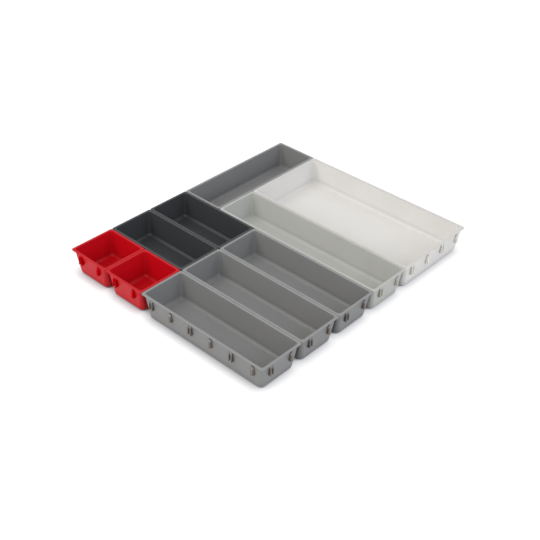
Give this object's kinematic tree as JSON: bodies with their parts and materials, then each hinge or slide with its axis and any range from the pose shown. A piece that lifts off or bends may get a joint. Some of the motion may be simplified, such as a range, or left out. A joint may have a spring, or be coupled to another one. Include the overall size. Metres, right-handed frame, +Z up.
{
  "type": "drawer organizer insert",
  "caption": "Modular drawer organizer insert: open trays of several lengths on one square grid, with leaning walls, flat rims and snap clips; every tray lifts straight out.",
  "frame": {"origin": "middle of the insert on the plane that the trays stand on", "axes": "+X across the drawer, +Y along the longer side towards the white tray, +Z up out of the trays"},
  "size_m": [0.3704, 0.4444, 0.04],
  "materials": {
    "red_plastic": "fine matt moulded texture",
    "red_clip_plastic": "plain moulded",
    "anthracite_plastic": "fine matt moulded texture",
    "anthracite_clip_plastic": "plain moulded",
    "grey_plastic": "fine matt moulded texture",
    "grey_clip_plastic": "plain moulded",
    "light_grey_plastic": "fine matt moulded texture",
    "light_grey_clip_plastic": "plain moulded",
    "white_plastic": "fine matt moulded texture",
    "white_clip_plastic": "plain moulded"
  },
  "bodies": {
    "red_tray_outer": {"red_tray_outer": "red_plastic", "red_tray_outer_sockets": "red_clip_plastic", "red_tray_outer_studs": "red_clip_plastic"},
    "red_tray_inner": {"red_tray_inner": "red_plastic", "red_tray_inner_sockets": "red_clip_plastic", "red_tray_inner_studs": "red_clip_plastic"},
    "anthracite_tray_front": {"anthracite_tray_front": "anthracite_plastic", "anthracite_tray_front_sockets": "anthracite_clip_plastic", "anthracite_tray_front_studs": "anthracite_clip_plastic"},
    "anthracite_tray_rear": {"anthracite_tray_rear": "anthracite_plastic", "anthracite_tray_rear_sockets": "anthracite_clip_plastic", "anthracite_tray_rear_studs": "anthracite_clip_plastic"},
    "grey_tray_front": {"grey_tray_front": "grey_plastic", "grey_tray_front_sockets": "grey_clip_plastic", "grey_tray_front_studs": "grey_clip_plastic"},
    "grey_tray_middle": {"grey_tray_middle": "grey_plastic", "grey_tray_middle_sockets": "grey_clip_plastic", "grey_tray_middle_studs": "grey_clip_plastic"},
    "grey_tray_rear": {"grey_tray_rear": "grey_plastic", "grey_tray_rear_sockets": "grey_clip_plastic", "grey_tray_rear_studs": "grey_clip_plastic"},
    "grey_tray_side": {"grey_tray_side": "grey_plastic", "grey_tray_side_sockets": "grey_clip_plastic", "grey_tray_side_studs": "grey_clip_plastic"},
    "light_grey_tray": {"light_grey_tray": "light_grey_plastic", "light_grey_tray_sockets": "light_grey_clip_plastic", "light_grey_tray_studs": "light_grey_clip_plastic"},
    "white_tray": {"white_tray": "white_plastic", "white_tray_sockets": "white_clip_plastic", "white_tray_studs": "white_clip_plastic"}
  },
  "joints": [
    {"name": "red_tray_outer_lift", "type": "slide", "parent": "white_tray", "child": "red_tray_outer", "axis": [0, 0, 1], "range_m": [0, 0.045]},
    {"name": "red_tray_inner_lift", "type": "slide", "parent": "white_tray", "child": "red_tray_inner", "axis": [0, 0, 1], "range_m": [0, 0.045]},
    {"name": "anthracite_tray_front_lift", "type": "slide", "parent": "white_tray", "child": "anthracite_tray_front", "axis": [0, 0, 1], "range_m": [0, 0.045]},
    {"name": "anthracite_tray_rear_lift", "type": "slide", "parent": "white_tray", "child": "anthracite_tray_rear", "axis": [0, 0, 1], "range_m": [0, 0.045]},
    {"name": "grey_tray_front_lift", "type": "slide", "parent": "white_tray", "child": "grey_tray_front", "axis": [0, 0, 1], "range_m": [0, 0.045]},
    {"name": "grey_tray_middle_lift", "type": "slide", "parent": "white_tray", "child": "grey_tray_middle", "axis": [0, 0, 1], "range_m": [0, 0.045]},
    {"name": "grey_tray_rear_lift", "type": "slide", "parent": "white_tray", "child": "grey_tray_rear", "axis": [0, 0, 1], "range_m": [0, 0.045]},
    {"name": "grey_tray_side_lift", "type": "slide", "parent": "white_tray", "child": "grey_tray_side", "axis": [0, 0, 1], "range_m": [0, 0.045]},
    {"name": "light_grey_tray_lift", "type": "slide", "parent": "white_tray", "child": "light_grey_tray", "axis": [0, 0, 1], "range_m": [0, 0.045]}
  ]
}
